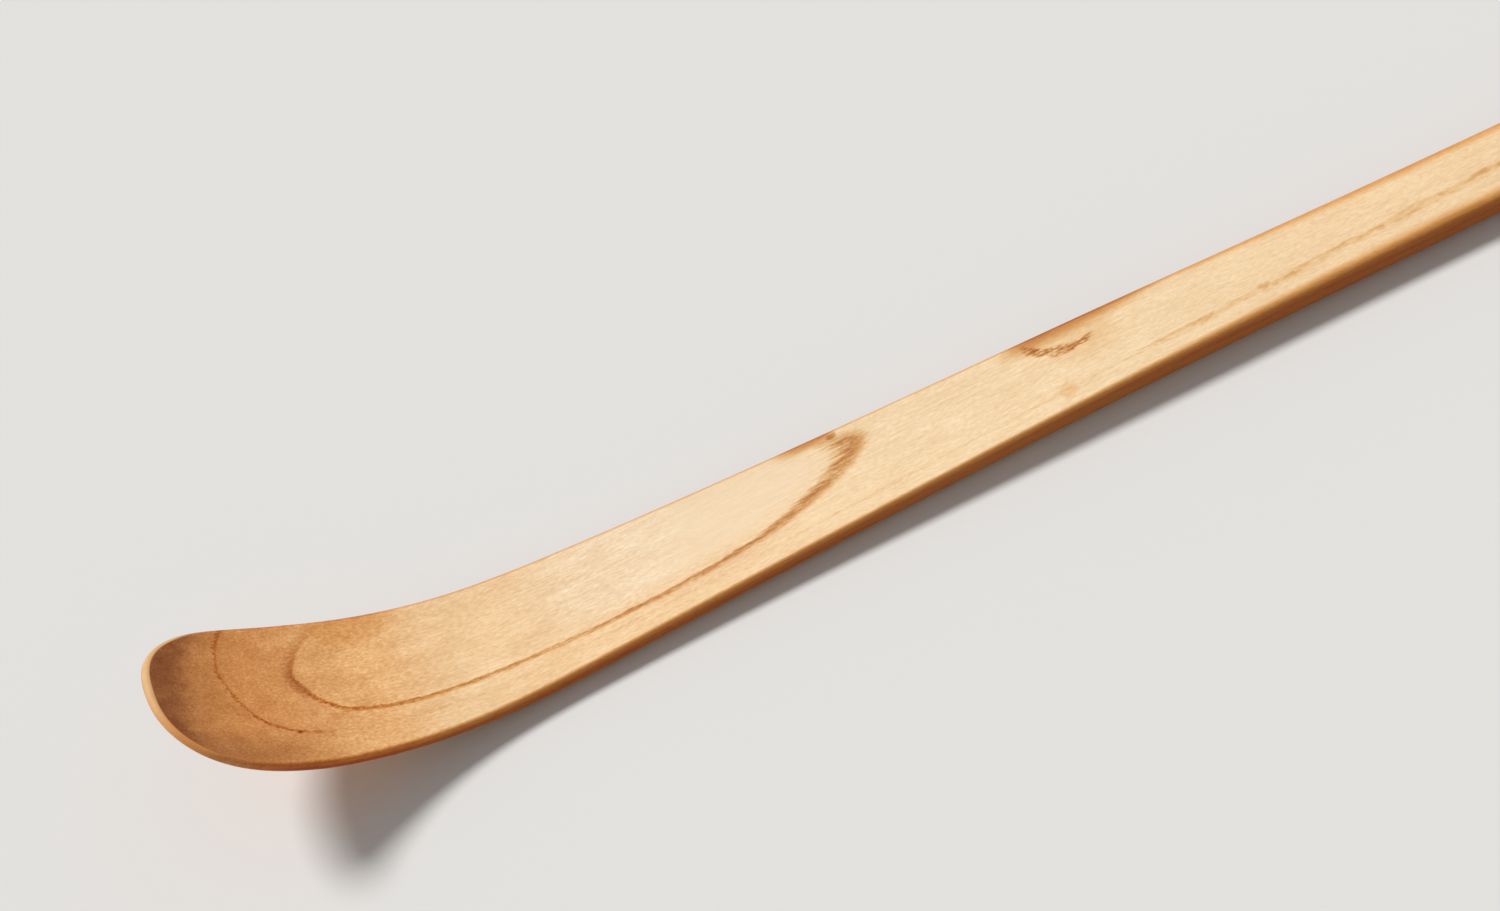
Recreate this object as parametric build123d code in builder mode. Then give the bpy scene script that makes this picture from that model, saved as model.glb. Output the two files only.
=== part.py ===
"""A tea scoop carved from one stick of wood: a slim, tapering handle whose wide end is hollowed and curls up.

The scoop lies on its back. +X runs along the handle to the butt, the tip is at -X, and +Z is up.
Sizes are in millimetres. The origin is under the middle of the scoop, on the surface that it lies on.
A "run" is a distance from the end of the tip, measured along the middle of the top.
"""

import os
from math import cos, exp, radians, sin

from build123d import *

# Seen from above: a round tip, the widest place of the scoop, then a taper that fades out along the handle
length = 182.0
tip_width = 10.4
scoop_width = 11.0
butt_width = 4.6
widest_run = 11.0
taper_length = 40.0
taper_power = 1.2

# Seen from the side: a level handle, a neck that thins down to the heel, a lead-in arc, the bowl's arc, the tip
handle_thickness = 2.6
heel_thickness = 1.8
tip_thickness = 1.0
neck_length = 45.0
lead_radius = 60.0
lead_angle = 4.5
bowl_radius = 25.0
tip_angle = 47.0

# Cross-section: rounded upper edges, narrow upright sides and a rounded back that is planed flat to lie on
bowl_edge_round = 0.25
handle_edge_round = 0.5
side_height = 0.2
back_round = 1.4
back_flat = 0.8
planed_depth = 0.05
bowl_dish = 0.2
handle_crown = 0.05
butt_bevel = 0.3

# The handle's edges turn from crisp to soft over this stretch behind the heel
soft_start = 30.0
soft_length = 30.0

# Numbers of spans between the cross-sections that shape the scoop and its neck, and the rest of the handle
scoop_spans = 32
handle_spans = 12

# The curl of the blade, from the heel to the middle of the round tip
tip_radius = tip_width / 2
curl = radians(tip_angle)
lead = radians(lead_angle)
blade_reach = lead_radius * sin(lead) + bowl_radius * (sin(curl) - sin(lead))
heel_run = lead_radius * lead + bowl_radius * (curl - lead) + tip_radius
neck_run = heel_run + neck_length

# The tip leans back, so the scoop ends at the rounded corner between the tip's edge and its back
corner_x = back_round * cos(curl)
corner_z = (tip_thickness - bowl_edge_round - side_height) * sin(curl)
rounded_off = corner_x * corner_z / (corner_x + corner_z)
tip_reach = tip_radius * cos(curl) + tip_thickness * sin(curl) - rounded_off
heel_x = tip_reach + blade_reach - length / 2
bevel_x = length / 2 - butt_bevel


def ease(share):
    """Smooth step from 0 to 1, level at both ends."""
    share = min(max(share, 0.0), 1.0)
    return share * share * (3.0 - 2.0 * share)


def half_width(run):
    """The sides flare from the round tip to the widest place, then close in as a fading exponential."""
    if run < widest_run:
        flare = ease((run - tip_radius) / (widest_run - tip_radius))
        return tip_radius + (scoop_width / 2 - tip_radius) * flare
    taper = exp(-(((run - widest_run) / taper_length) ** taper_power))
    return butt_width / 2 + (scoop_width - butt_width) / 2 * taper


def half_outline(half, thickness, edge, back, crown):
    """Right half of a cross-section, from the middle of its top round the side to the middle of its back."""
    top_side = half - edge
    back_side = half - back
    side_foot = -edge - side_height
    Bezier((0, crown), (top_side / 2, crown), (top_side, 0))
    CenterArc((top_side, -edge), edge, 0, 90)
    Line((half, -edge), (half, side_foot))
    Bezier((half, side_foot), (half, -thickness), (back_side, -thickness))
    Line((back_side, -thickness), (0, -thickness))


def cross_section(plane, half, thickness, edge, back, crown):
    """Whole cross-section, hung from the middle line of the top at the plane's origin."""
    with BuildSketch(plane) as section:
        with BuildLine():
            half_outline(half, thickness, edge, back, crown)
            mirror(about=Plane.YZ)
        make_face()
    return section.sketch


# Middle line of the top, from the butt to the middle of the round tip
with BuildLine(Plane.XZ) as top_line:
    level = Line((bevel_x, handle_thickness), (heel_x + neck_length, handle_thickness))
    neck = Spline(level @ 1, (heel_x, heel_thickness), tangents=[(-1, 0), (-1, 0)])
    lead_in = JernArc(neck @ 1, (-1, 0), lead_radius, -lead_angle)
    JernArc(lead_in @ 1, lead_in % 1, bowl_radius, lead_angle - tip_angle)
top = top_line.wire()
butt_run = top.length + tip_radius


def section_at(run):
    """Plane and sizes of the cross-section at a run."""
    place = top.position_at(butt_run - run, position_mode=PositionMode.LENGTH)
    heading = top.tangent_at(butt_run - run, position_mode=PositionMode.LENGTH)
    plane = Plane(place, x_dir=(0, -1, 0), z_dir=heading)
    half = half_width(run)
    behind_heel = run - heel_run
    if behind_heel > 0:
        thickness = place.Z + planed_depth
    else:
        thinning = behind_heel / (heel_run - tip_radius)
        thickness = heel_thickness + planed_depth + (heel_thickness + planed_depth - tip_thickness) * thinning
    softness = ease((behind_heel - soft_start) / soft_length)
    edge = bowl_edge_round + (handle_edge_round - bowl_edge_round) * softness
    back = min(back_round, half - back_flat / 2)
    crown = (handle_crown + bowl_dish) * ease(behind_heel / (soft_start + soft_length)) - bowl_dish
    return plane, half, thickness, edge, back, crown


def runs_between(start, end, spans):
    """Evenly spaced runs, both ends included."""
    return [start + (end - start) * i / spans for i in range(spans + 1)]


with BuildPart() as scoop:
    # Bowl and neck, then the rest of the handle
    loft([cross_section(*section_at(run)) for run in runs_between(tip_radius, neck_run, scoop_spans)])
    loft([cross_section(*section_at(run)) for run in runs_between(neck_run, butt_run, handle_spans)])

    # Round tip: the last cross-section of the bowl turned half round its middle
    tip_plane, *tip_sizes = section_at(tip_radius)
    with BuildSketch(tip_plane) as tip_section:
        with BuildLine():
            half_outline(*tip_sizes)
            Line((0, -tip_thickness), (0, -bowl_dish))
        make_face()
    revolve(tip_section.sketch, axis=Axis(tip_plane.origin, -tip_plane.y_dir), revolution_arc=180)

    # Bevel round the sawn butt
    butt_plane, half, thickness, edge, back, crown = section_at(butt_run)
    sawn_plane = Plane(
        (length / 2, 0, handle_thickness - butt_bevel), x_dir=butt_plane.x_dir, z_dir=butt_plane.z_dir
    )
    sawn_end = cross_section(
        sawn_plane,
        half - butt_bevel,
        thickness - 2 * butt_bevel,
        edge - butt_bevel,
        back - butt_bevel,
        crown,
    )
    loft([cross_section(butt_plane, half, thickness, edge, back, crown), sawn_end], ruled=True)

    # Back planed flat to lie on
    split(bisect_by=Plane.XY, keep=Keep.TOP)

scoop.part.label = "scoop"
os.makedirs("parts", exist_ok=True)
export_step(scoop.part, "parts/scoop.step")
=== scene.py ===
from math import acos, cos, pi, radians, sin

import bmesh
import bpy
import numpy as np
from mathutils import Matrix, Vector


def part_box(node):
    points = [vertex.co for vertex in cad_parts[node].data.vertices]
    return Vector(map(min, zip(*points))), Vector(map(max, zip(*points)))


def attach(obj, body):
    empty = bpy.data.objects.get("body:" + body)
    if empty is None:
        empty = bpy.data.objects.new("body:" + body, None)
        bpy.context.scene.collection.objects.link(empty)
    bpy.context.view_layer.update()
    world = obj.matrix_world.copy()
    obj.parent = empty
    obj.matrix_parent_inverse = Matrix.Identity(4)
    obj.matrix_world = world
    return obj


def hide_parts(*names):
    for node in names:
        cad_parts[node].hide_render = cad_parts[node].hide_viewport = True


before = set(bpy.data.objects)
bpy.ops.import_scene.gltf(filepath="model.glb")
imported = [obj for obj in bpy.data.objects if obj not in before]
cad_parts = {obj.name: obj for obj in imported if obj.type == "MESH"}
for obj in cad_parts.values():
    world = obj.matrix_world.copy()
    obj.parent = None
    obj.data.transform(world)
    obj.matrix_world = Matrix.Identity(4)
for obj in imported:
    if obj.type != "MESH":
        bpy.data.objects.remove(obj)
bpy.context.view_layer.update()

# The scoop is one slim stick of pale flat-sawn wood: its handle, neck, bowl and round tip are one piece.
# It is split and sawn to a blank, carved with a knife, scraped smooth and left bare, so that handling gives
# it a satin surface and warm edges.
lowest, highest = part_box("scoop")

# Seen from above: the round tip, the widest place, then a taper that fades out along the handle.
# A run is a distance from the end of the tip, measured along the middle of the top.
tip_width = 0.0104
scoop_width = 0.011
butt_width = 0.0046
widest_run = 0.011
taper_length = 0.04
taper_power = 1.2

# Seen from the side: a level handle, a neck that thins down to the heel, a lead-in arc and the bowl's arc
handle_thickness = 0.0026
heel_thickness = 0.0018
tip_thickness = 0.001
neck_length = 0.045
lead_radius = 0.06
lead = radians(4.5)
bowl_radius = 0.025
curl = radians(47.0)

# Cross-section: rounded upper edges, narrow upright sides and a rounded back that is planed flat to lie on
bowl_edge_round = 0.00025
tip_edge_round = 0.00038
handle_edge_round = 0.0005
side_height = 0.0002
back_round = 0.0014
back_flat = 0.0008
planed_depth = 0.00005
bowl_dish = 0.0002
handle_crown = 0.00005
butt_bevel = 0.0003

# The handle's edges turn from crisp to soft over this stretch behind the heel
soft_start = 0.03
soft_length = 0.03

# The tip is an oval that runs into the sides: where it starts, its length, how blunt its end is, how square
# its shoulders are, how far it leans to the far side, and how much its end is cut back underneath
oval_start = 0.00027
oval_length = 0.0099
oval_bluntness = 3.0
oval_shoulder = 2.36
tip_lean = 0.00038
tip_undercut = 0.0004

# The tip's softer edge comes in over this turn, in radians, from the near side of its end to the far side
tip_edge_start = -0.9
tip_edge_turn = 1.2

# Knife facets along the back corners: their depth, how many lie side by side, how far they wander sideways,
# and the run in which that wander turns through one radian
facet_depth = 0.00003
facet_count = 3.0
facet_wander = 0.12
wander_run = 0.0062

# The grid: its spacing along the bowl and neck, its columns along the rest of the handle and round the tip,
# how far the columns that close the sawn end reach, and its spans over each part of the cross-section
column_spacing = 0.0003
handle_columns = 190
tip_columns = 90
cap_shares = (1.0, 0.7, 0.35, 0.0)
top_spans = 25
edge_spans = 8
side_spans = 2
corner_spans = 24
back_spans = 9

# Points of the grid that lie closer than this are merged, and edges that turn by more than this stay sharp
weld_distance = 1e-6
crease_angle = radians(35.0)

# The curl of the blade, from the heel to the middle of the round tip, and the run where the neck ends
tip_radius = tip_width / 2
blade_reach = lead_radius * sin(lead) + bowl_radius * (sin(curl) - sin(lead))
heel_run = lead_radius * lead + bowl_radius * (curl - lead) + tip_radius
neck_run = heel_run + neck_length

# The tip leans back, so the scoop ends at the rounded corner between the tip's edge and its back
corner_x = back_round * cos(curl)
corner_z = (tip_thickness - bowl_edge_round - side_height) * sin(curl)
rounded_off = corner_x * corner_z / (corner_x + corner_z)
tip_reach = tip_radius * cos(curl) + tip_thickness * sin(curl) - rounded_off
heel_x = lowest.x + tip_reach + blade_reach
bevel_run = heel_run + highest.x - butt_bevel - heel_x


def ease(share):
    """Smooth step from 0 to 1, level at both ends: 3 times the square less 2 times the cube."""
    share = np.clip(share, 0.0, 1.0)
    return share * share * (3.0 - 2.0 * share)


def top_line(run):
    """Middle line of the top at a run: its x, its z and the tilt of the blade.

    Behind the heel it is level, with a smooth step down over the neck. Ahead of the heel it turns up
    through two arcs, each adding its radius times the change of sine to x and of cosine to z.
    """
    ahead = heel_run - run
    lead_turn = np.clip(ahead / lead_radius, 0.0, lead)
    bowl_turn = np.clip((ahead - lead_radius * lead) / bowl_radius, 0.0, curl - lead)
    lead_x = lead_radius * np.sin(lead_turn)
    lead_z = lead_radius * (1.0 - np.cos(lead_turn))
    bowl_x = bowl_radius * (np.sin(lead + bowl_turn) - sin(lead))
    bowl_z = bowl_radius * (cos(lead) - np.cos(lead + bowl_turn))
    rise = (handle_thickness - heel_thickness) * ease(-ahead / neck_length)
    x = heel_x + np.maximum(-ahead, 0.0) - lead_x - bowl_x
    z = heel_thickness + rise + lead_z + bowl_z
    return x, z, lead_turn + bowl_turn


def half_width(run):
    """Half the width at a run: the lesser of the tip's oval and the taper.

    The oval starts just behind the end of the tip. On it, the share of its length still ahead to the power
    of its bluntness, plus the share of the full half width to the power of its shoulder, is 1. The taper is
    a fading exponential of the run past the widest place.
    """
    still_ahead = np.maximum(1.0 - (run - oval_start) / oval_length, 0.0)
    oval = scoop_width / 2 * (1.0 - still_ahead**oval_bluntness) ** (1.0 / oval_shoulder)
    taper = np.exp(-((np.maximum(run - widest_run, 0.0) / taper_length) ** taper_power))
    return np.minimum(oval, butt_width / 2 + (scoop_width - butt_width) / 2 * taper)


def round_outline(along_side, round_tip):
    """Values for all columns: down one side to the tip, round the tip, and back along the other side."""
    return np.concatenate([along_side[::-1], round_tip, along_side])


def scoop_surface():
    """Skin of the scoop: a grid of columns round its outline by rows round its half cross-section.

    A column hangs from the top's middle line and looks outwards: across the stick along both sides, and
    round the oval at the tip, which leans to the far side by the square of the way to its end. Its rows go
    over the top, a shallow parabola, over the edge, a quarter circle, down the side, and round the back
    corner, a quadratic curve cut in by the facets' squared sines and the tip's undercut, to the middle of
    the back. The sawn end is filled by columns that shrink to nothing. Each point comes with its distance
    in from the edge, the same as a share of the edge's rounding, and its depth below the top.
    """
    # Columns along a side, with those of the sawn end last, then columns round the tip
    open_runs = np.append(
        np.arange(tip_radius, neck_run, column_spacing),
        np.linspace(neck_run, bevel_run, handle_columns),
    )
    side_runs = np.append(open_runs, np.full(len(cap_shares), bevel_run))
    side_share = np.append(np.ones(open_runs.size), cap_shares)
    side_inset = np.append(np.zeros(open_runs.size), np.full(len(cap_shares), butt_bevel))
    shoulder_turn = acos((1.0 - (tip_radius - oval_start) / oval_length) ** (oval_bluntness / 2.0))
    tip_turn = np.linspace(-shoulder_turn, shoulder_turn, tip_columns + 2)[1:-1]
    tip_run = oval_start + oval_length * (1.0 - np.cos(tip_turn) ** (2.0 / oval_bluntness))
    tip_ahead = tip_radius - tip_run
    tip_side = np.sign(tip_turn) * half_width(tip_run) + tip_lean * (tip_ahead / tip_radius) ** 2
    tip_facing = np.arctan2(tip_side, tip_ahead)

    # Where each column hangs, where its edge lies, which way it looks and how far it reaches
    run = round_outline(side_runs, np.full(tip_run.size, tip_radius))
    edge_run = round_outline(side_runs, tip_run)
    facing = np.concatenate([np.full(side_runs.size, -pi / 2), tip_facing, np.full(side_runs.size, pi / 2)])
    share = round_outline(side_share, np.ones(tip_run.size))[:, None]
    inset = round_outline(side_inset, np.zeros(tip_run.size))[:, None]
    reach = round_outline(half_width(side_runs), np.hypot(tip_side, tip_ahead))[:, None]

    # Sizes of each column's cross-section
    x, z, tilt = top_line(run)
    behind_heel = run - heel_run
    heel_depth = heel_thickness + planed_depth
    thinning = behind_heel / (heel_run - tip_radius)
    blade_thickness = heel_depth + (heel_depth - tip_thickness) * thinning
    softness = ease((behind_heel - soft_start) / soft_length)
    tipness = (1.0 - ease(edge_run / tip_radius)) * ease((facing - tip_edge_start) / tip_edge_turn)
    edge = bowl_edge_round + (handle_edge_round - bowl_edge_round) * softness
    edge = (edge + (tip_edge_round - bowl_edge_round) * tipness)[:, None] - inset
    half = reach - inset
    thickness = np.where(behind_heel > 0.0, z + planed_depth, blade_thickness)[:, None] - 2.0 * inset
    back = np.minimum(back_round, reach - back_flat / 2) - inset
    undercut = tip_undercut * (1.0 - ease(edge_run / oval_length))[:, None]
    levelling = ease(behind_heel / (soft_start + soft_length))
    crown = ((handle_crown + bowl_dish) * levelling - bowl_dish)[:, None]

    # Rows: the top, the edge, the side, the back corner and the back, as distances out and up
    top_step = np.linspace(0.0, 1.0, top_spans, endpoint=False)
    edge_turn = np.linspace(pi / 2, 0.0, edge_spans, endpoint=False)
    side_step = np.linspace(0.0, 1.0, side_spans, endpoint=False)
    corner_step = np.linspace(0.0, 1.0, corner_spans, endpoint=False)
    back_step = np.linspace(0.0, 1.0, back_spans + 1)
    foot = -edge - side_height
    wander = facet_wander * np.sin(run / wander_run)[:, None]
    scallops = np.sin(pi * (facet_count * corner_step + wander)) ** 2
    facet = facet_depth * np.sin(pi * corner_step) * scallops
    cut_back = 2.0 * undercut * corner_step * (1.0 - corner_step)
    out = np.concatenate([
        (half - edge) * top_step,
        half - edge + edge * np.cos(edge_turn),
        np.repeat(half, side_step.size, axis=1),
        half - back * corner_step**2 - cut_back - facet,
        (half - back) * (1.0 - back_step),
    ], axis=1)
    up = np.concatenate([
        crown * (1.0 - top_step**2),
        edge * np.sin(edge_turn) - edge,
        -edge - side_height * side_step,
        foot * (1.0 - corner_step) ** 2 - thickness * (1.0 - (1.0 - corner_step) ** 2) + facet,
        np.repeat(-thickness, back_step.size, axis=1),
    ], axis=1)

    tilt = tilt[:, None]
    ahead = out * share * np.cos(facing)[:, None]
    points = np.stack([
        x[:, None] + inset - ahead * np.cos(tilt) + up * np.sin(tilt),
        out * share * np.sin(facing)[:, None],
        np.maximum(z[:, None] - inset + ahead * np.sin(tilt) + up * np.cos(tilt), 0.0),
    ], axis=2)
    return points, half - out, (half - out) / edge, -up


def grid_piece(name, points, **surface_values):
    """Object whose mesh is a grid of points, with doubled points merged and its faces turned outwards.

    Each further value is kept on the points as an attribute of its own name.
    """
    columns, rows = points.shape[:2]
    number = np.arange(columns * rows).reshape(columns, rows)
    faces = np.stack([number[:-1, :-1], number[1:, :-1], number[1:, 1:], number[:-1, 1:]], axis=2)
    mesh = bpy.data.meshes.new(name)
    mesh.from_pydata(points.reshape(-1, 3).tolist(), [], faces.reshape(-1, 4).tolist())
    for value_name, values in surface_values.items():
        layer = mesh.attributes.new(value_name, "FLOAT", "POINT")
        layer.data.foreach_set("value", values.astype(np.float32).ravel())
    welded = bmesh.new()
    welded.from_mesh(mesh)
    bmesh.ops.remove_doubles(welded, verts=welded.verts, dist=weld_distance)
    bmesh.ops.recalc_face_normals(welded, faces=welded.faces)
    welded.to_mesh(mesh)
    welded.free()
    mesh.polygons.foreach_set("use_smooth", np.ones(len(mesh.polygons), bool))
    mesh.set_sharp_from_angle(angle=crease_angle)
    piece = bpy.data.objects.new(name, mesh)
    bpy.context.scene.collection.objects.link(piece)
    return piece


class Tone:
    """A value, colour or vector that a node gives. Arithmetic on values adds Math nodes."""

    def __init__(self, tree, socket=None):
        self.tree = tree
        self.socket = socket

    def node(self, kind, settings=None, inputs=None, output=0):
        """Any node: its settings come first, then each socket gets a number, a colour or a link."""
        made = self.tree.nodes.new(kind)
        for setting, value in (settings or {}).items():
            setattr(made, setting, value)
        for socket, value in (inputs or {}).items():
            if isinstance(value, Tone):
                self.tree.links.new(value.socket, made.inputs[socket])
            else:
                made.inputs[socket].default_value = value
        return Tone(self.tree, made.outputs[output])

    def math(self, operation, first, second=0.0):
        return self.node("ShaderNodeMath", {"operation": operation}, {0: first, 1: second})

    def __add__(self, other):
        return self.math("ADD", self, other)

    def __radd__(self, other):
        return self.math("ADD", other, self)

    def __sub__(self, other):
        return self.math("SUBTRACT", self, other)

    def __rsub__(self, other):
        return self.math("SUBTRACT", other, self)

    def __mul__(self, other):
        return self.math("MULTIPLY", self, other)

    def __rmul__(self, other):
        return self.math("MULTIPLY", other, self)

    def __truediv__(self, other):
        return self.math("DIVIDE", self, other)

    def __rtruediv__(self, other):
        return self.math("DIVIDE", other, self)

    def __pow__(self, other):
        return self.math("POWER", self, other)

    def __rpow__(self, other):
        return self.math("POWER", other, self)

    def __abs__(self):
        return self.math("ABSOLUTE", self)

    def at_least(self, low):
        return self.math("MAXIMUM", self, low)

    def at_most(self, high):
        return self.math("MINIMUM", self, high)

    def rise(self, low, high):
        """Smooth step from 0 where the value is low to 1 where it is high."""
        return self.node(
            "ShaderNodeMapRange",
            {"interpolation_type": "SMOOTHSTEP"},
            {"Value": self, "From Min": low, "From Max": high},
        )

    def fall(self, low, high):
        """Smooth step from 1 where the value is low to 0 where it is high."""
        return 1.0 - self.rise(low, high)

    def band(self, start, full, fade, end):
        """Smooth band: it rises from the start until it is full, and falls from the fade to the end."""
        return self.rise(start, full) * self.fall(fade, end)

    def noise(self, lengths, detail=2.0, roughness=0.5):
        """Soft noise about 0, whose blotches have about these three lengths, in the vector's own units."""
        scaled = self.node("ShaderNodeVectorMath", {"operation": "DIVIDE"}, {0: self, 1: lengths})
        blotches = {"Vector": scaled, "Scale": 1.0, "Detail": detail, "Roughness": roughness}
        return self.node("ShaderNodeTexNoise", inputs=blotches) - 0.5

    def mixed(self, first, second, share):
        """The first colour where the share is 0, the second where it is 1, and a mixture between."""
        return self.node("ShaderNodeMix", {"data_type": "RGBA"}, {0: share, 6: first, 7: second}, 2)

    def stained(self, colour, share):
        """This colour mixed with another one by a share."""
        return self.mixed(self, colour, share)

    def glazed(self, stain, share):
        """This colour under a clear stain: multiplied by the stain's colour to the power of a share."""
        tint = self.node("ShaderNodeVectorMath", {"operation": "POWER"}, {0: stain, 1: share})
        return self.node("ShaderNodeVectorMath", {"operation": "MULTIPLY"}, {0: self, 1: tint})


golden_wood = (0.85, 0.575, 0.31, 1.0)
pale_wood = (0.865, 0.628, 0.368, 1.0)
cream_wood = (0.875, 0.66, 0.423, 1.0)
honey_wood = (0.875, 0.466, 0.184, 1.0)
orange_wood = (0.80, 0.33, 0.095, 1.0)
stain_and_shade_brown = (0.30, 0.085, 0.019, 1.0)
rim_highlight_wood = (0.78, 0.47, 0.215, 1.0)
grain_stain = (0.40, 0.21, 0.09)
ring_stain = (0.66, 0.42, 0.20)
edge_stain = (0.75, 0.52, 0.28)
rim_stain = (0.73, 0.40, 0.16)
pale_stain = (1.05, 1.05, 1.04)
painted_side_shade = (0.64, 0.46, 0.31)
end_stain = (0.68, 0.48, 0.32)
shade_stain = (0.50, 0.32, 0.23)
knot_stain = (0.43, 0.17, 0.03)
satin_shine = 0.2
satin_roughness = 0.52
fibre_relief = 0.3
fibre_depth = 0.00005

scraped_wood = bpy.data.materials.new("scraped_wood")
scraped_wood.use_nodes = True
wood_tree = scraped_wood.node_tree
bare = Tone(wood_tree)

# Places on the wood, in millimetres: from the tip's end along the stick, across it to the far side, up,
# in from the edge, and down from the top
to_mm = 1000.0
metres = bare.node("ShaderNodeTexCoord", output="Object")
place = bare.node("ShaderNodeVectorMath", {"operation": "SCALE"}, {0: metres, "Scale": to_mm})
from_tip = bare.node("ShaderNodeSeparateXYZ", inputs={0: place}, output=0) - to_mm * lowest.x
across = bare.node("ShaderNodeSeparateXYZ", inputs={0: place}, output=1)
height = bare.node("ShaderNodeSeparateXYZ", inputs={0: place}, output=2)
from_edge = to_mm * bare.node("ShaderNodeAttribute", {"attribute_name": "from_edge"}, output="Fac")
below_top = to_mm * bare.node("ShaderNodeAttribute", {"attribute_name": "below_top"}, output="Fac")
rim_share = bare.node("ShaderNodeAttribute", {"attribute_name": "rim_share"}, output="Fac")

# Noises drawn out along the grain, from long waves to fine grit
sway = place.noise((9.0, 4.0, 4.0))
cloud = place.noise((4.0, 1.2, 1.2), 3.0, 0.6)
dash = place.noise((1.2, 0.5, 0.5))
shiver = place.noise((0.7, 0.35, 0.35), 3.0)
fibre = place.noise((2.2, 0.17, 0.17), 3.0, 0.6)
grit = place.noise((0.4, 0.13, 0.13), 2.0, 0.6)

# Parts of the stick: its top, the neck, the fan where the inner ring closes, and the handle past the knot
on_top = below_top.fall(0.3, 0.9)
neck_part = from_tip.rise(28.0, 35.0)
fan = from_tip.rise(36.0, 46.0)
past_knot = from_tip.rise(61.0, 71.0)

ring_bluntness = 9.0
ring_roundness = 1.5


def growth_ring(tip_end, middle, butt_end, middle_y, half, slimness):
    """How far a point lies outside a growth ring that the carved top cuts as a long closed loop.

    The loop is an oval: the share of the way from its middle to its tip end, to the power of its bluntness,
    plus the share of the way to its butt end, to the power of its slimness, plus the share of the way
    across, to the power of its roundness, is 1. Deeper in the wood the loop is smaller.
    """
    ring_x = from_tip + sway * 0.5 + fibre * (0.5 + 1.5 * fan)
    ring_y = across + sway * 0.3 + shiver * (0.25 + 0.2 * past_knot)
    tipward = ((middle - ring_x) / (middle - tip_end)).at_least(0.0) ** ring_bluntness
    buttward = ((ring_x - middle) / (butt_end - middle)).at_least(0.0) ** slimness
    sideways = (abs(ring_y - middle_y) / half) ** ring_roundness
    return tipward + buttward + sideways - 1.0 + below_top * 0.3


def blot(x, y, long, wide, ragged):
    """Soft ragged mark on the top: 1 less the squares of the shares of its two half lengths, eased."""
    marked_x = (from_tip + shiver * ragged - x) / long
    marked_y = (across + shiver * ragged - y) / wide
    return (1.0 - marked_x * marked_x - marked_y * marked_y).rise(0.0, 1.0) * on_top


# Warmth grows towards the tip, where the layers are cut across and drink up more stain
mellow = from_tip.fall(10.7, 18.2)
warmth = from_tip.fall(4.5, 12.0)
inner_ring = growth_ring(
    tip_end=7.9,
    middle=22.8,
    butt_end=46.0,
    middle_y=1.57 + 0.36 * fan,
    half=3.62 + 0.38 * fan,
    slimness=3.1,
)
outer_ring = growth_ring(tip_end=4.1, middle=18.0, butt_end=118.6, middle_y=1.98, half=5.26, slimness=1.0)
inside = inner_ring.fall(-0.5, 0.0) * from_tip.rise(21.0, 29.0)
handle_share = from_tip.rise(29.0, 49.0) * (1.0 - 0.4 * from_tip.rise(67.0, 81.0))
pale_patch = blot(x=16.0, y=1.8, long=6.5, wide=5.0, ragged=1.0)
far_patch = blot(x=12.0, y=4.6, long=3.6, wide=1.7, ragged=2.0)
colour = bare.mixed(golden_wood, pale_wood, handle_share)
# Inside the inner ring the wood turns cream: pale wood, made paler still as a painted highlight
colour = colour.stained(cream_wood, inside)
colour = colour.stained(honey_wood, mellow)
colour = colour.glazed(pale_stain, pale_patch)
colour = colour.glazed(edge_stain, far_patch * 0.35)
colour = colour.stained(orange_wood, warmth)

# The end of the tip is dark brown, partly stain and partly painted shade, with a soft border that follows
# the round of the tip
tip_dark_middle = -1.3
tip_dark_bow = 0.044
tip_dark_y = across - tip_dark_middle
tip_dark_border = from_tip + sway * 1.6 + shiver * 0.8 - tip_dark_bow * tip_dark_y * tip_dark_y
tip_stain_and_shade = 0.5 * tip_dark_border.fall(1.5, 2.7) + 0.5 * tip_dark_border.fall(0.8, 4.8)
# Painted shade in the same brown darkens the near front of the bowl, by its edge
front_shade = across.fall(-4.5, -2.0) * from_tip.fall(5.0, 11.0) * from_edge.rise(-0.5, 0.8)
# Partly stain, partly painted shade where the curled tip turns from the lamp
colour = colour.stained(stain_and_shade_brown, tip_stain_and_shade * (0.92 + 0.3 * cloud - 0.12 * across.rise(2.0, 4.5)))
colour = colour.stained(stain_and_shade_brown, front_shade * 0.48)

# Blotches, fibres and fine grit, darker and lighter than the wood round them
# Inside the inner ring the marks are weaker, as a painted highlight washes them out
calm = 1.0 - 0.7 * inside * from_tip.rise(29.0, 36.0)
figured = from_tip.fall(29.0, 37.0)
blotchy = cloud * (0.16 + 0.12 * figured + 0.24 * mellow)
streaky = fibre * (0.20 + 0.22 * mellow)
gritty = grit * (0.32 + 0.08 * figured + 0.32 * mellow)
colour = colour.glazed(grain_stain, (blotchy + streaky + gritty) * calm)

# Layers of wood round the pith, which lies under the stick. They show on its sides, its back and past its
# middle, as lines that darken slowly and end sharply.
pith_across = 2.2
pith_depth = 14.0
layer_gap = 1.1
layer_slope = 0.018
layer_start = 0.511
ray_across = across - pith_across
ray_up = height + pith_depth
layers = (ray_across * ray_across + ray_up * ray_up) ** 0.5 + from_tip * layer_slope + sway * 0.7
layer_share = bare.math("FRACT", layers / layer_gap + layer_start)
layer_line = layer_share.band(0.55, 0.97, 0.97, 1.0)
layered = (from_tip.rise(93.0, 107.0) + 1.0 - on_top).at_most(1.0)
broken = (0.8 + 1.6 * fibre + 1.2 * grit).at_least(0.0)
colour = colour.glazed(ring_stain, layer_line * layered * broken * 0.5)

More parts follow.
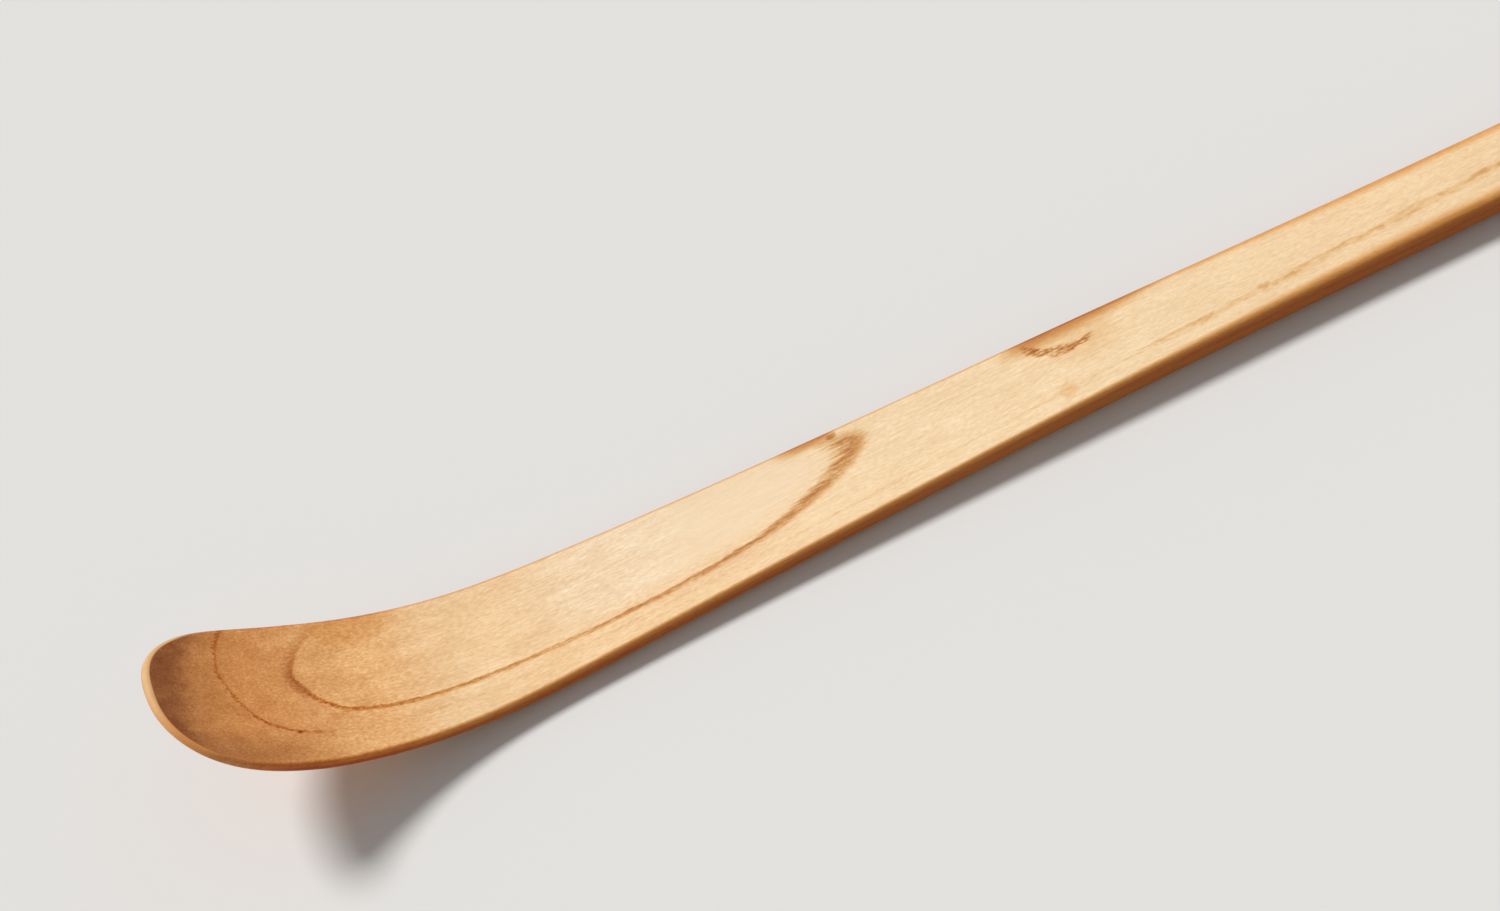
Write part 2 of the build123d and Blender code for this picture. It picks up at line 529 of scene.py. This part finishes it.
# Inner growth ring: a dark line with a soft shade outside it at its nose and along the neck
nose = from_tip.fall(8.6, 11.0) * across.rise(-1.2, 0.8)
inner_share = inner_ring / (0.16 + 0.1 * nose + 0.045 * neck_part + 0.03 * fan)
inner_line = inner_share.band(-0.25 - 0.7 * fan, 0.1, 0.1, 1.0)
inner_line = inner_line * (1.0 - across.rise(2.2, 3.2) * fan) * across.fall(2.7, 4.2)
inner_shade = nose + 0.22 * neck_part * from_tip.fall(37.0, 42.0)
inner_shade = inner_shade * inner_ring.band(-0.04, 0.03, 0.05, 0.55)
colour = colour.glazed(ring_stain, inner_line * broken * (1.3 + 0.2 * fan - 0.9 * nose))
colour = colour.glazed(shade_stain, inner_shade * (0.55 - 0.3 * across.rise(1.5, 3.5)))

# Outer growth ring: dark at the tip, faint along the bowl, and a row of warm dashes past the knot
near_tip = from_tip.fall(6.5, 9.5)
bend = across.rise(-2.0, 1.0) * from_tip.fall(7.0, 11.0)
outer_share = outer_ring / (0.055 + 0.04 * bend + 0.06 * past_knot)
outer_line = outer_share.band(-0.6, 0.0, 0.1, 1.0)
colour = colour.glazed(ring_stain, outer_line * broken * (0.12 + 1.05 * near_tip - 0.25 * bend))
colour = colour.glazed(edge_stain, outer_line * past_knot * (0.15 + dash.rise(-0.04, 0.1) * 0.5))

# A small knot, as a bowed stroke, with the stain along the far edge beside it and beside the ring's fan
knot_middle = 61.2
knot_across = 1.2
knot_half = 0.35
left_bow = 0.13
right_bow = 0.08
knot_left = (from_tip - knot_middle).at_most(0.0)
knot_right = (from_tip - knot_middle).at_least(0.0)
knot_y = knot_across + left_bow * knot_left * knot_left + right_bow * knot_right * knot_right
knot_gap = abs(across - knot_y + shiver * 0.7 + fibre * 0.7) / (knot_half - 0.06 * knot_left)
knot = knot_gap.fall(0.1, 1.0) * from_tip.band(57.9, 58.5, 62.1, 62.8) * on_top
knot_reach = from_edge + 0.055 * (from_tip - 59.0).at_least(0.0)
knot_edge = knot_reach.fall(0.1, 1.45) * from_tip.band(56.0, 59.0, 64.0, 69.0)
fan_edge = from_edge.fall(0.2, 0.9) * from_tip.band(40.5, 42.5, 44.4, 45.4)
far_side = across.rise(0.0, 1.0) * (0.4 + 0.6 * on_top)
knot_glow = blot(x=62.0, y=1.2, long=3.0, wide=2.0, ragged=1.0)
colour = colour.glazed(edge_stain, (1.9 * knot_edge + 1.4 * fan_edge) * far_side)
colour = colour.glazed(edge_stain, knot_glow * 0.22)
colour = colour.glazed(knot_stain, knot * (0.6 + 2.4 * fibre + 2.4 * grit).at_least(0.0))

# Lesser marks: a fleck in the ring's fan, a warm patch across from the knot, and a speck near the tip
fan_fleck = blot(x=44.8, y=3.05, long=0.45, wide=0.25, ragged=0.5)
warm_patch = blot(x=59.9, y=-1.7, long=0.75, wide=0.8, ragged=1.3)
tip_speck = blot(x=7.4, y=-2.87, long=0.18, wide=0.15, ragged=0.2)
colour = colour.glazed(knot_stain, fan_fleck * 0.5)
colour = colour.glazed(rim_stain, warm_patch * 0.25)
colour = colour.glazed(knot_stain, tip_speck * 0.8)

# The long edges darken, partly from handling and partly as painted shade where their rounding turns from
# the lamp; painted shade makes the sides darker still; and the sawn end shows dark end grain
soft_edge = from_tip.rise(55.0, 85.0)
saw_edge = to_mm * (highest.x - butt_bevel - lowest.x)
saw_fade = 0.04
sawn = from_tip.rise(saw_edge - saw_fade, saw_edge + saw_fade)
between_ends = from_tip.rise(3.0, 7.0) * (1.0 - sawn)
colour = colour.glazed(rim_stain, rim_share.fall(0.0, 1.3 + 0.6 * soft_edge) * between_ends)
# Painted shade on the sides, below the rounding of the edges
colour = colour.glazed(painted_side_shade, below_top.rise(0.1, 0.5) * from_edge.fall(0.3, 1.2) * between_ends)
colour = colour.glazed(end_stain, sawn)

# The rim of the tip gets a painted highlight, pale wood where it faces the lamp, which warms to an orange
# painted shade towards the near side
painted_rim_colour = bare.mixed(orange_wood, rim_highlight_wood, across.rise(-4.2, 0.5))
painted_rim_highlight = rim_share.fall(0.75, 1.0) * below_top.fall(0.4, 0.75)
painted_rim_highlight = painted_rim_highlight * from_tip.fall(2.4, 3.8) * across.rise(-5.3, -4.2)
colour = colour.stained(painted_rim_colour, painted_rim_highlight * (0.92 + 0.4 * grit + 0.4 * cloud))

shader = wood_tree.nodes["Principled BSDF"]
shader.inputs["Specular IOR Level"].default_value = satin_shine
gloss = satin_roughness + 0.3 * fibre
grain_height = fibre + 0.6 * grit
relief = bare.node(
    "ShaderNodeBump",
    inputs={"Strength": fibre_relief, "Distance": fibre_depth, "Height": grain_height},
)
wood_tree.links.new(colour.socket, shader.inputs["Base Color"])
wood_tree.links.new(gloss.socket, shader.inputs["Roughness"])
wood_tree.links.new(relief.socket, shader.inputs["Normal"])

skin, inwards, share_inwards, depth = scoop_surface()
carved_scoop = grid_piece("carved_scoop", skin, from_edge=inwards, rim_share=share_inwards, below_top=depth)
carved_scoop.data.materials.append(scraped_wood)
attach(carved_scoop, "root")
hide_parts("scoop")

# The table top that the scoop lies on is a plain pale board, painted matt.
# It is far wider than the scoop, so that its edge stays out of every view.
floor_half = 4.0
floor_colour = (0.76, 0.75, 0.73, 1.0)
paint_roughness = 0.9
paint_shine = 0.1
corners = floor_half * np.array([[-1.0, -1.0, 0.0], [1.0, -1.0, 0.0], [1.0, 1.0, 0.0], [-1.0, 1.0, 0.0]])
floor_mesh = bpy.data.meshes.new("pale_floor")
floor_mesh.from_pydata(corners.tolist(), [], [(0, 1, 2, 3)])
floor = bpy.data.objects.new("pale_floor", floor_mesh)
bpy.context.scene.collection.objects.link(floor)
matt_paint = bpy.data.materials.new("matt_paint")
matt_paint.use_nodes = True
paint = matt_paint.node_tree.nodes["Principled BSDF"]
paint.inputs["Base Color"].default_value = floor_colour
paint.inputs["Roughness"].default_value = paint_roughness
paint.inputs["Specular IOR Level"].default_value = paint_shine
floor_mesh.materials.append(matt_paint)

# Soft studio light: one broad lamp, far off beyond the tip and on its far side, and an even pale surround.
# The surround lights the scoop weakly, and looks pale where the camera meets it past the floor.
lamp_direction = Vector((-0.32, 0.45, 0.83))
lamp_breadth = radians(15.2)
lamp_strength = 2.62
surround_colour = (1.0, 1.0, 1.0, 1.0)
surround_strength = 0.31
surround_shown = 0.8
lamp_data = bpy.data.lights.new("broad_lamp", "SUN")
lamp_data.angle = lamp_breadth
lamp_data.energy = lamp_strength
lamp = bpy.data.objects.new("broad_lamp", lamp_data)
lamp.rotation_euler = (-lamp_direction).to_track_quat("-Z", "Y").to_euler()
bpy.context.scene.collection.objects.link(lamp)

surround = bpy.data.worlds.new("surround")
surround.use_nodes = True
bpy.context.scene.world = surround
glow = surround.node_tree.nodes["Background"]
glow.inputs["Color"].default_value = surround_colour
rays = Tone(surround.node_tree)
seen = rays.node("ShaderNodeLightPath", output="Is Camera Ray")
mirrored = rays.node("ShaderNodeLightPath", output="Is Glossy Ray")
through = rays.node("ShaderNodeLightPath", output="Is Transmission Ray")
shown = (seen + mirrored + through).at_most(1.0)
strength = surround_strength + (surround_shown - surround_strength) * shown
surround.node_tree.links.new(strength.socket, glow.inputs["Strength"])

# The camera stands in front of the scoop and above it, rolled so that the stick rises to the right.
# Its long lens takes in the bowl and half of the handle.
view_elevation = radians(55.0)
view_turn = radians(11.74)
view_roll = radians(-35.21)
view_distance = 0.45
view_aim = Vector((-0.05087, 0.00188, 0.00584))
film_width = 36.0
lens_length = 172.6
nearest_seen = 0.01
level_back = Vector((sin(view_turn), -cos(view_turn), 0.0))
level_right = Vector((cos(view_turn), sin(view_turn), 0.0))
toward_camera = level_back * cos(view_elevation) + Vector((0.0, 0.0, sin(view_elevation)))
level_up = toward_camera.cross(level_right)
camera_right = level_right * cos(view_roll) + level_up * sin(view_roll)
camera_up = level_up * cos(view_roll) - level_right * sin(view_roll)
camera_data = bpy.data.cameras.new("camera")
camera_data.sensor_width = film_width
camera_data.lens = lens_length
camera_data.clip_start = nearest_seen
camera = bpy.data.objects.new("camera", camera_data)
turned = Matrix((camera_right, camera_up, toward_camera)).transposed()
camera.matrix_world = Matrix.Translation(view_aim + toward_camera * view_distance) @ turned.to_4x4()
bpy.context.scene.collection.objects.link(camera)
bpy.context.scene.camera = camera
bpy.context.scene.view_settings.view_transform = "Standard"
